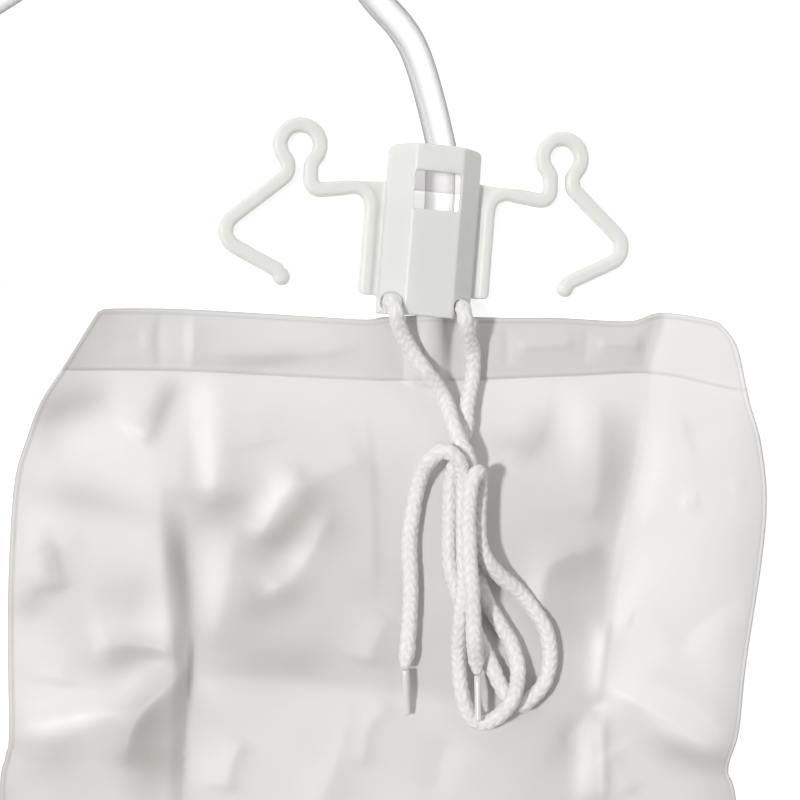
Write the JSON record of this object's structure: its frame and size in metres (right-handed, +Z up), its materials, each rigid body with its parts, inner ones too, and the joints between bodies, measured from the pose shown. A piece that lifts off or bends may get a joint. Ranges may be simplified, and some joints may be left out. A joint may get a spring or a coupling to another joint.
{
  "type": "urine drainage bag",
  "caption": "Flat film drainage bag with a moulded hanger and hooks, a clear inlet tube with a capped connector, a tie cord and a push-pull outlet tap.",
  "frame": {"origin": "middle of the footprint of bag, hanger and tap, on the table under the back film", "axes": "+Y along the bag towards its hanger, +Z up out of the front film, +X to the right as the picture shows it"},
  "size_m": [0.3411, 0.4959, 0.0217],
  "materials": {
    "film": "soft translucent white film",
    "moulding": "satin white moulding",
    "clear_tube": "clear flexible tubing",
    "connector": "natural white moulding",
    "cap": "clear blue-grey moulding",
    "tie_cord": "white round braid",
    "aglet": "clear wrapped tip",
    "outlet_tube": "clear flexible tubing",
    "tap_body": "satin white moulding",
    "plunger": "satin pale blue moulding"
  },
  "bodies": {
    "bag": {"film_bag": "film", "hanger": "moulding", "inlet_tube": "clear_tube", "inlet_tube_coil": "clear_tube", "inlet_tube_tail": "clear_tube", "catheter_connector": "connector", "tie_cord_left": "tie_cord", "tie_cord_right": "tie_cord", "aglet_left": "aglet", "aglet_right": "aglet", "outlet_tube": "outlet_tube", "valve_body": "tap_body"},
    "cap": {"connector_cap": "cap"},
    "plunger": {"valve_plunger": "plunger"}
  },
  "joints": [
    {"name": "cap_pull", "type": "slide", "parent": "bag", "child": "cap", "axis": [0.1779, -0.984, 0], "range_m": [0, 0.036]},
    {"name": "plunger_push", "type": "slide", "parent": "bag", "child": "plunger", "axis": [1, 0, 0], "range_m": [0, 0.008]}
  ]
}
